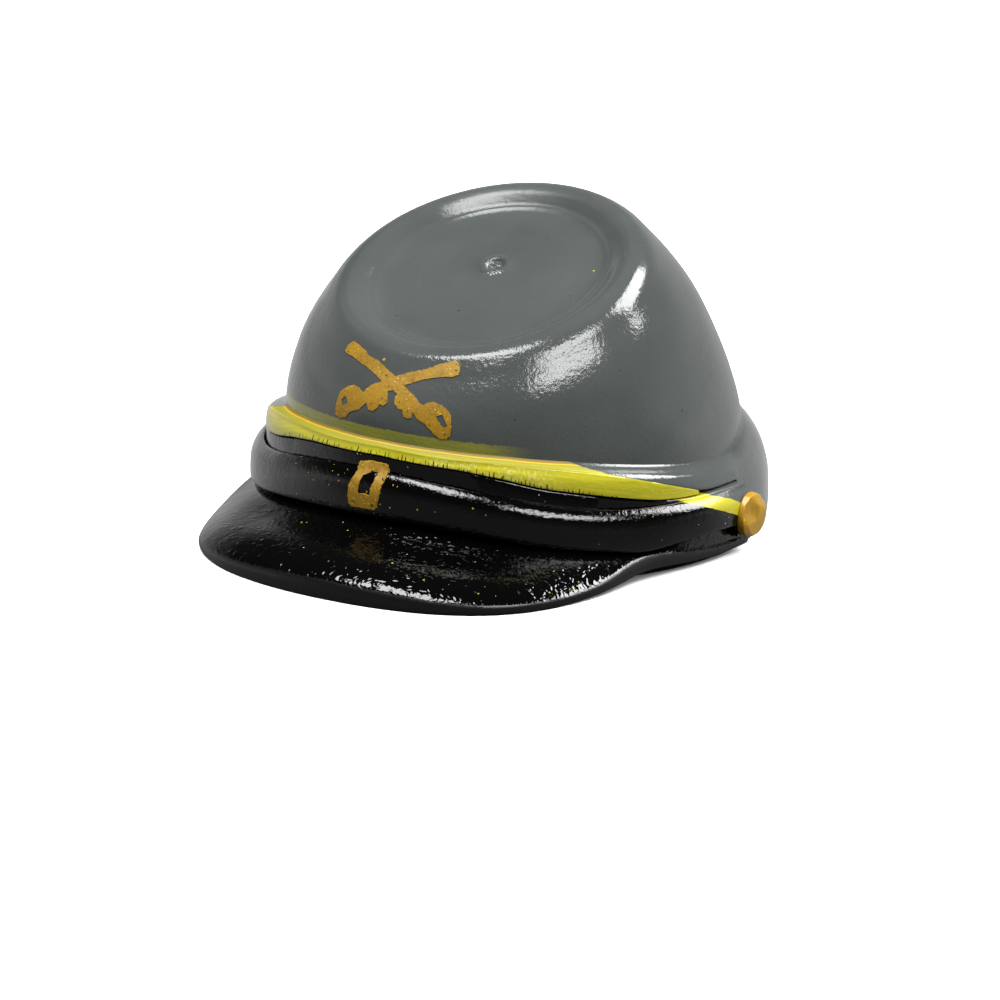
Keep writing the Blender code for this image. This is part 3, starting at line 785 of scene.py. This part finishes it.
@effect("Mask", "Float", Spacing=0.25, Size=0.03, Share=0.3)
def specks(tree, given):
    """Scattered specks. Spacing and Size in millimetres, Share of the cells that hold one."""
    cells = add(tree, "TexVoronoi")
    feed(tree, cells.inputs["Vector"], place_over(tree, given["Spacing"]))
    cells.inputs["Scale"].default_value = 1.0
    chance = add(tree, "SeparateColor")
    feed(tree, chance.inputs[0], cells.outputs["Color"])
    kept = maths(tree, "LESS_THAN", chance.outputs[0], given["Share"])
    wobble = noise(tree, place_on(tree), lumps(0.02), detail=1.0)
    radius = times(tree, maths(tree, "DIVIDE", given["Size"], given["Spacing"]),
                   maths(tree, "ADD", 0.35, chance.outputs[1]), maths(tree, "ADD", 0.3, wobble))
    return times(tree, maths(tree, "LESS_THAN", cells.outputs["Distance"], radius), kept)


@effect("Mask", "Float", Across=0.0, Up=0.0, Level=0.0, Ragged=0.03, Hair=0.0, Soft=0.01)
def brushed_edge(tree, given):
    """What lies above the edge of a brushed coat. Millimetres.

    Ragged is how far the edge wanders, and Hair how far thin gaps reach up into the coat.
    """
    wander = noise(tree, given["Across"], 6.0, detail=4.0, roughness=0.7, noise_dimensions="1D")
    shift = times(tree, maths(tree, "SUBTRACT", wander, 0.5), given["Ragged"])
    drawn = add(tree, "CombineXYZ")
    feed(tree, drawn.inputs[0], times(tree, given["Across"], 20.0))
    feed(tree, drawn.inputs[1], times(tree, given["Up"], 1.6))
    hairs = noise(tree, drawn.outputs[0], 1.0, noise_dimensions="2D")
    spikes = times(tree, spread(tree, hairs, 0.50, 0.72), given["Hair"])
    level = maths(tree, "ADD", maths(tree, "ADD", given["Level"], shift), spikes)
    return spread(tree, maths(tree, "SUBTRACT", given["Up"], level), 0.0, given["Soft"])


@effect("Value", "Float", Across=0.0, Up=0.0, Width=0.05)
def brush_streaks(tree, given):
    """Long streaks that a brush leaves round the cap, from 0 to 1. Width is in millimetres."""
    drawn = add(tree, "CombineXYZ")
    feed(tree, drawn.inputs[0], times(tree, given["Across"], 0.9))
    feed(tree, drawn.inputs[1], maths(tree, "DIVIDE", given["Up"], given["Width"]))
    return noise(tree, drawn.outputs[0], 1.0, detail=4.0, noise_dimensions="2D")


@effect("Mask", "Float", Reach=5.0)
def outer_side(tree, given):
    """1 on what lies further than Reach from the bore's axis, where a brush gets to. Millimetres."""
    flat = add(tree, "VectorMath", operation="MULTIPLY")
    feed(tree, flat.inputs[0], place_on(tree))
    flat.inputs[1].default_value = (1.0, 1.0, 0.0)
    off_axis = add(tree, "VectorMath", operation="DISTANCE")
    feed(tree, off_axis.inputs[0], flat.outputs[0])
    off_axis.inputs[1].default_value = (0.0, AXIS_Y * MM, 0.0)
    reach = times(tree, given["Reach"], MM)
    return spread(tree, off_axis.outputs["Value"], reach, maths(tree, "ADD", reach, 0.1 * MM))


@effect("Color", "Color")
def grey_plastic(tree, given):
    """Cool grey with faint clouds and a few dark and yellow specks in it."""
    clouds = noise(tree, place_on(tree), lumps(1.6), detail=3.0)
    colour = blend(tree, spread(tree, clouds, 0.3, 0.7), tinted(GREY, 0.90), tinted(GREY, 1.10))
    dark = use(tree, specks, Spacing=0.5, Size=0.04, Share=0.30)
    dots = use(tree, specks, Spacing=0.62, Size=0.045, Share=0.12)
    return blend(tree, dots, blend(tree, dark, colour, tinted(GREY, 0.55)), SPECK)


@effect("Normal", "Vector")
def grey_skin(tree, given):
    """Pebbled at the front of the cap, smoother towards its back."""
    height = spread(tree, parts(tree, place_on(tree))[1], -3.6 * MM, 0.5 * MM, 0.011, 0.0055)
    return use(tree, glossy_skin, Dimple_Size=0.062, Dimple_Height=height, Swell_Height=0.010)


@effect("Color", "Color", Near=0.1, Far=0.1)
def black_lacquer(tree, given):
    """Black with yellow and pale specks. Near and Far are their shares at the buckle and away from it."""
    place = place_on(tree)
    colour = blend(tree, noise(tree, place, lumps(0.9), detail=3.0), BLACK, tinted(BLACK, 3.0))
    from_buckle = maths(tree, "ABSOLUTE", maths(tree, "ADD", parts(tree, place)[0], 0.9 * MM))
    share = spread(tree, from_buckle, 0.8 * MM, 2.6 * MM, given["Near"], given["Far"])
    dots = use(tree, specks, Spacing=0.15, Size=0.024, Share=share)
    pale = use(tree, specks, Spacing=0.26, Size=0.025, Share=times(tree, share, 0.8))
    return blend(tree, pale, blend(tree, dots, colour, SPECK), PALE_SPECK)


@effect("Color", "Color", Paint=YELLOW, Above_Crease=0.0)
def painted_shade_and_highlight_at_crease(tree, given):
    """Yellow paint with painted shade that darkens it towards the crease, and a painted highlight, a bright
    line, along it.
    """
    above = given["Above Crease"]
    # painted shade: the yellow darkens towards the crease
    paint = blend(tree, spread(tree, above, *TO_SHADED), given["Paint"], SHADED_YELLOW)
    # painted highlight: a bright line along the crease
    return blend(tree, spread(tree, above, *TO_PAINTED_HIGHLIGHT), paint, PAINTED_HIGHLIGHT_YELLOW)


@effect("Color", "Color", Grain=1.0, Deep=DEEP_GOLD, Plain=GOLD, Rich=RICH_GOLD)
def gold_grain(tree, given):
    """Gold ink or paint: fine light and dark grain, small pits, soft clouds."""
    place, grain = place_on(tree), given["Grain"]
    flakes = noise(tree, place, lumps(0.03), roughness=0.7)
    clouds = noise(tree, place, lumps(0.35))
    half = times(tree, grain, 0.5)
    low, high = maths(tree, "SUBTRACT", 0.5, half), maths(tree, "ADD", 0.5, half)
    colour = blend(tree, spread(tree, flakes, 0.30, 0.70, low, high), given["Deep"], given["Plain"])
    colour = blend(tree, spread(tree, clouds, 0.35, 0.8, 0.0, 0.4), colour, given["Rich"])
    glints = use(tree, specks, Spacing=0.07, Size=0.016, Share=times(tree, grain, 0.30))
    pits = use(tree, specks, Spacing=0.10, Size=0.02, Share=times(tree, grain, 0.35))
    return blend(tree, pits, blend(tree, glints, colour, GOLD_GLINT), GOLD_PIT)


# ---- materials ----
def material(name, roughness, metallic=0.0, specular=0.5):
    """A new material: (material, its tree, the inputs of its shader)."""
    made = bpy.data.materials.new(name)
    made.use_nodes = True
    shader = made.node_tree.nodes["Principled BSDF"].inputs
    shader["Roughness"].default_value = roughness
    shader["Metallic"].default_value = metallic
    shader["Specular IOR Level"].default_value = specular
    return made, made.node_tree, shader


def brushed(tree, line, ragged, soft, **more):
    """Way round the cap, height above a painted line, and the mask of what lies above its brushed edge."""
    across, above = painted_map(tree, line)
    return across, above, use(tree, brushed_edge, Across=across, Up=above, Ragged=ragged, Soft=soft, **more)


def make_grey_crown():
    """Grey plastic, with the thin olive strip that the yellow brush left above the crease."""
    made, tree, shader = material("grey_plastic_crown", GREY_GLOSS)
    across, up, clear = brushed(tree, "above_the_crease", 0.10, 0.035, Level=OLIVE_STRIP)
    streaks = use(tree, brush_streaks, Across=across, Up=up, Width=0.05)
    outer = use(tree, outer_side, Reach=5.0)
    share = times(tree, maths(tree, "SUBTRACT", 1.0, clear), between(tree, across, -7.0, -5.8, 2.2, 4.0),
                  spread(tree, streaks, 0.2, 0.7, 0.6, 0.95), outer)
    colour = blend(tree, share, use(tree, grey_plastic), OLIVE)
    pooled = times(tree, spread(tree, up, *POOL, 1.0, 0.0), between(tree, across, -7.4, -6.8, 4.4, 4.9),
                   outer)
    feed(tree, shader["Base Color"], blend(tree, pooled, colour, ORANGE))
    back = parts(tree, place_on(tree))[1]
    feed(tree, shader["Roughness"], spread(tree, back, 1.2 * MM, 2.6 * MM, GREY_GLOSS, GREY_BACK_GLOSS))
    feed(tree, shader["Normal"], use(tree, grey_skin))
    return made


def make_grey_band():
    """Grey plastic: yellow up to the crease across the front, black behind the buttons' lower edge."""
    made, tree, shader = material("grey_plastic_band", GREY_GLOSS)
    clear = brushed(tree, "above_the_yellow", 0.04, 0.02)[2]
    _, above_crease = painted_map(tree, "above_the_crease")
    # painted shade towards the crease and a painted highlight along it
    paint = use(tree, painted_shade_and_highlight_at_crease, Paint=YELLOW, Above_Crease=above_crease)
    paint = blend(tree, spread(tree, above_crease, *TO_ORANGE), paint, ORANGE)
    paint = blend(tree, spread(tree, above_crease, *TO_OLIVE), paint, tinted(OLIVE, 0.6))
    above_foot = spread(tree, parts(tree, place_on(tree))[2], 0.6 * MM, 0.7 * MM)
    painted = times(tree, use(tree, outer_side, Reach=5.4), above_foot, maths(tree, "SUBTRACT", 1.0, clear))
    colour = blend(tree, painted, use(tree, grey_plastic), paint)
    feed(tree, shader["Roughness"], spread(tree, painted, 0.0, 1.0, GREY_GLOSS, BAND_YELLOW_GLOSS))
    bare = brushed(tree, "above_the_black", 0.06, 0.03)[2]
    feed(tree, shader["Base Color"], blend(tree, bare, tinted(BLACK, 4.0), colour))
    feed(tree, shader["Normal"], use(tree, grey_skin))
    return made


def make_plain_grey():
    made, tree, shader = material("grey_plastic_socket", SOCKET_GLOSS)
    feed(tree, shader["Base Color"], use(tree, grey_plastic))
    feed(tree, shader["Normal"], use(tree, grey_skin))
    return made


def make_black_strap():
    """Black lacquer. Near the buttons a wedge of yellow runs over its upper edge, and grey above that."""
    made, tree, shader = material("black_paint_strap", STRAP_GLOSS)
    colour = use(tree, black_lacquer, Near=0.75, Far=0.10)
    painted = brushed(tree, "above_wedge_foot", 0.04, 0.02)[2]
    # painted shade: the wedge's yellow is a darker copy of the piping's yellow
    colour = blend(tree, painted, colour, tinted(YELLOW, 0.9))
    feed(tree, shader["Roughness"], spread(tree, painted, 0.0, 1.0, STRAP_GLOSS, WEDGE_GLOSS))
    bare = brushed(tree, "above_wedge_top", 0.04, 0.02)[2]
    feed(tree, shader["Base Color"], blend(tree, bare, colour, GREY))
    skin = use(tree, glossy_skin, Dimple_Size=0.070, Dimple_Height=0.013, Swell_Height=0.020)
    feed(tree, shader["Normal"], skin)
    return made


def make_black_peak():
    """Glossy black above, ending in a brushed line on the edge, which is duller."""
    made, tree, shader = material("black_paint_peak", PEAK_GLOSS)
    across, above_rim, top = brushed(tree, "above_the_rim", 0.05, 0.02, Hair=0.05)
    lacquer = use(tree, black_lacquer, Near=0.10, Far=0.07)
    feed(tree, shader["Base Color"], blend(tree, top, RIM_BLACK, lacquer))
    feed(tree, shader["Roughness"], spread(tree, top, 0.0, 1.0, RIM_GLOSS, PEAK_GLOSS))
    height = times(tree, spread(tree, above_rim, -0.1, 0.05, 0.003, 0.018),
                   spread(tree, across, -4.5, -0.8, 0.25, 1.0))
    skin = use(tree, leather_wrinkles, Fold_Size=0.070, Fold_Height=height, Swell_Height=0.020)
    feed(tree, shader["Normal"], skin)
    return made


def make_yellow():
    """Yellow brushed on by hand over black: thin gaps rise from its lower edge."""
    made, tree, shader = material("yellow_paint", PIPING_GLOSS)
    across, up = painted_map(tree, "above_the_foot")
    hair = times(tree, spread(tree, across, -4.4, -2.6, 0.02, 0.13), spread(tree, across, 4.6, 6.4, 1.0, 0.0))
    coat = use(tree, brushed_edge, Across=across, Up=up, Level=0.012, Ragged=0.03, Hair=hair, Soft=0.012)
    streaks = use(tree, brush_streaks, Across=across, Up=up, Width=0.06)
    paint = blend(tree, spread(tree, streaks, 0.3, 0.7), blend(tree, 0.35, YELLOW, OLIVE), YELLOW)
    # painted highlight: pale flecks in the yellow across the front, standing in for a broken-up highlight
    painted_sparkle_flecks = noise(tree, place_on(tree), lumps(0.035), detail=3.0)
    pale = times(tree, between(tree, across, 0.6, 1.8, 3.4, 5.0), spread(tree, painted_sparkle_flecks, 0.46, 0.68, 0.0, 0.42))
    paint = blend(tree, pale, paint, PAINTED_SPARKLE_YELLOW)
    _, above_crease = painted_map(tree, "above_the_crease")
    # painted shade towards the crease and a painted highlight along it
    paint = use(tree, painted_shade_and_highlight_at_crease, Paint=paint, Above_Crease=above_crease)
    feed(tree, shader["Base Color"], blend(tree, coat, GAP_YELLOW, paint))
    skin = use(tree, glossy_skin, Dimple_Size=0.055, Dimple_Height=0.010, Swell_Height=0.014)
    feed(tree, shader["Normal"], skin)
    return made


def make_gold(name, roughness, metallic, grain, lift):
    """Gold with this much grain, its colours lifted by a factor."""
    made, tree, shader = material(name, roughness, metallic=metallic, specular=0.35)
    deep, plain, rich = (tinted(colour, lift) for colour in (DEEP_GOLD, GOLD, RICH_GOLD))
    feed(tree, shader["Base Color"], use(tree, gold_grain, Grain=grain, Deep=deep, Plain=plain, Rich=rich))
    skin = use(tree, glossy_skin, Dimple_Size=0.05, Dimple_Height=0.006 * grain, Swell_Height=0.004)
    feed(tree, shader["Normal"], skin)
    return made


def dress(piece, finish):
    piece.data.materials.clear()
    piece.data.materials.append(finish)
    if piece not in nodes.values():
        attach(piece, "root")


# ---- the cap ----
grey_crown = make_grey_crown()
grey_band = make_grey_band()
plain_grey = make_plain_grey()
black_strap = make_black_strap()
black_peak = make_black_peak()
yellow = make_yellow()
gold_ink = make_gold("gold_ink", roughness=0.5, metallic=0.0, grain=1.0, lift=1.0)
gold_button = make_gold("gold_button_paint", roughness=0.22, metallic=0.1, grain=0.4, lift=1.35)

crown = make_crown()
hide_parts("crown")
lay_map(crown, "above_the_crease", CREASE)

band = refined("band", "rolled_band", 0.9, fill_crease)
lay_map(band, "above_the_crease", CREASE)
lay_map(band, "above_the_yellow", YELLOW_TOP)
lay_map(band, "above_the_black", BLACK_TOP)

front_band = refined("front_band", "black_front_band", 0.9)
strap = refined("chin_strap", "strap", 0.85)
for piece in (front_band, strap):
    lay_map(piece, "above_wedge_foot", WEDGE_FOOT)
    lay_map(piece, "above_wedge_top", WEDGE_TOP)
peak = refined("peak", "peak_visor", 0.7)
lay_map(peak, "above_the_rim", RIM_PAINT)

piping = refined("piping", "yellow_piping", 0.8, raise_top)
lay_map(piping, "above_the_foot", PIPING_FOOT)
lay_map(piping, "above_the_crease", CREASE)

badge = make_badge(crown)
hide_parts("sabre_badge")
buckle = make_buckle(strap, front_band)
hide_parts("buckle")

pattern = make_button()
buttons = []
for side, word in ((1, "left"), (-1, "right")):
    placed = place_button(pattern, f"gold_button_{word}", side)
    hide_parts(f"side_button_{word}")
    buttons.append(placed)
bpy.data.objects.remove(pattern, do_unlink=True)

for finish, slot, pieces in (
    (grey_crown, "grey_plastic", (crown,)),
    (grey_band, "grey_plastic", (band,)),
    (black_strap, "black_plastic", (front_band, strap)),
    (black_peak, "black_plastic", (peak,)),
    (yellow, "yellow_paint", (piping,)),
    (plain_grey, "grey_plastic", (nodes["stud_socket"],)),
    (gold_ink, "gold_paint", (badge, buckle)),
    (gold_button, "gold_paint", buttons),
):
    for piece in pieces:
        dress(piece, finish)


# ---- studio ----
VIEW_ANGLE, VIEW_ELEVATION, VIEW_DISTANCE = 33.35, 17.46, 320.0
VIEW_ROLL = 0.39
PIXELS_PER_MM = 39.41
FRAME_PIXELS = 1000.0
VIEW_POINT = Vector((0.0, AXIS_Y, 0.1))
VIEW_PIXEL = (520.0, 504.1)
FLOOR_SIZE = 4.0
WHITE = (1.0, 1.0, 1.0, 1.0)
TABLE_WHITE = (0.88, 0.88, 0.88, 1.0)
LAMP_AIM = Vector((0.0, 0.0, 0.004))
# lamps: name, angle round the cap, elevation, distance, width and height in metres, strength, seen in gloss
LAMPS = (
    ("overhead_softbox", -28.0, 72.5, 0.5, 0.31, 0.155, 15.0, True),
    ("side_softbox", 69.0, 51.0, 0.5, 0.28, 0.12, 14.0, True),
    ("rear_softbox", 143.0, 46.0, 0.5, 0.28, 0.19, 17.0, True),
    ("fill_softbox", -40.0, 78.0, 0.8, 0.8, 0.8, 6.0, False),
    ("right_fill_softbox", 95.0, 30.0, 0.8, 0.7, 0.5, 4.2, False),
)


def away_from_cap(angle, elevation):
    a, e = math.radians(angle), math.radians(elevation)
    return Vector((math.sin(a) * math.cos(e), -math.cos(a) * math.cos(e), math.sin(e)))


def behind_the_cap():
    """Level direction from the camera on past the cap."""
    a = math.radians(VIEW_ANGLE)
    return -math.sin(a), math.cos(a), 0.0


def make_floor():
    """White to the camera. In reflections it is dark in front of the cap and paler behind it."""
    bpy.ops.object.select_all(action="DESELECT")
    bpy.ops.mesh.primitive_plane_add(size=FLOOR_SIZE, location=(0, 0, 0))
    floor = new_piece("floor")
    made, tree, shader = material("white_table", 0.6, specular=0.1)
    behind = add(tree, "VectorMath", operation="DOT_PRODUCT")
    feed(tree, behind.inputs[0], place_on(tree))
    feed(tree, behind.inputs[1], behind_the_cap())
    grey = spread(tree, behind.outputs["Value"], -9 * MM, 3 * MM, 0.04, 0.19)
    seen = add(tree, "LightPath").outputs["Is Camera Ray"]
    feed(tree, shader["Base Color"], blend(tree, seen, grey, TABLE_WHITE))
    floor.data.materials.append(made)


def softbox(name, angle, elevation, distance, width, height, strength, mirrored):
    """A rectangular lamp that faces the cap from this angle round it and this elevation."""
    away = away_from_cap(angle, elevation)
    lamp = bpy.data.lights.new(name, "AREA")
    lamp.shape, lamp.size, lamp.size_y = "RECTANGLE", width, height
    lamp.energy = strength * math.pi * width * height
    holder = bpy.data.objects.new(name, lamp)
    holder.location = LAMP_AIM + away * distance
    holder.rotation_mode = "QUATERNION"
    holder.rotation_quaternion = away.to_track_quat("Z", "Y")
    holder.visible_glossy = mirrored
    bpy.context.scene.collection.objects.link(holder)


def make_world():
    """Pale room: brighter low down behind the cap, dark above and in front. The camera sees plain white."""
    world = bpy.data.worlds.new("pale_room")
    bpy.context.scene.world = world
    world.use_nodes = True
    tree = world.node_tree
    tree.nodes.clear()
    towards = add(tree, "TexCoord").outputs["Generated"]
    behind = add(tree, "VectorMath", operation="DOT_PRODUCT")
    feed(tree, behind.inputs[0], towards)
    feed(tree, behind.inputs[1], behind_the_cap())
    low = spread(tree, behind.outputs["Value"], -0.55, 0.05, 0.10, 0.65)
    level = spread(tree, parts(tree, towards)[2], 0.08, 0.55, low, 0.03)
    room = add(tree, "Background")
    feed(tree, room.inputs["Strength"], level)
    seen = add(tree, "Background")
    seen.inputs["Strength"].default_value = 1.0
    for background in (room, seen):
        background.inputs["Color"].default_value = WHITE
    choice = add(tree, "MixShader")
    feed(tree, choice.inputs[0], add(tree, "LightPath").outputs["Is Camera Ray"])
    feed(tree, choice.inputs[1], room.outputs[0])
    feed(tree, choice.inputs[2], seen.outputs[0])
    feed(tree, add(tree, "OutputWorld").inputs[0], choice.outputs[0])


def make_camera():
    away = away_from_cap(VIEW_ANGLE, VIEW_ELEVATION)
    view = bpy.data.cameras.new("view")
    view.sensor_width = 36.0
    view.lens = view.sensor_width * PIXELS_PER_MM * VIEW_DISTANCE / FRAME_PIXELS
    view.shift_x = (FRAME_PIXELS / 2 - VIEW_PIXEL[0]) / FRAME_PIXELS
    view.shift_y = (VIEW_PIXEL[1] - FRAME_PIXELS / 2) / FRAME_PIXELS
    view.clip_start, view.clip_end = 0.01, 10.0
    camera = bpy.data.objects.new("camera", view)
    camera.location = (VIEW_POINT + away * VIEW_DISTANCE) * MM
    camera.rotation_mode = "QUATERNION"
    roll = Matrix.Rotation(math.radians(VIEW_ROLL), 3, "Z").to_quaternion()
    camera.rotation_quaternion = away.to_track_quat("Z", "Y") @ roll
    bpy.context.scene.collection.objects.link(camera)
    bpy.context.scene.camera = camera


make_floor()
for lamp in LAMPS:
    softbox(*lamp)
make_world()
make_camera()
bpy.context.scene.view_settings.view_transform = "Standard"
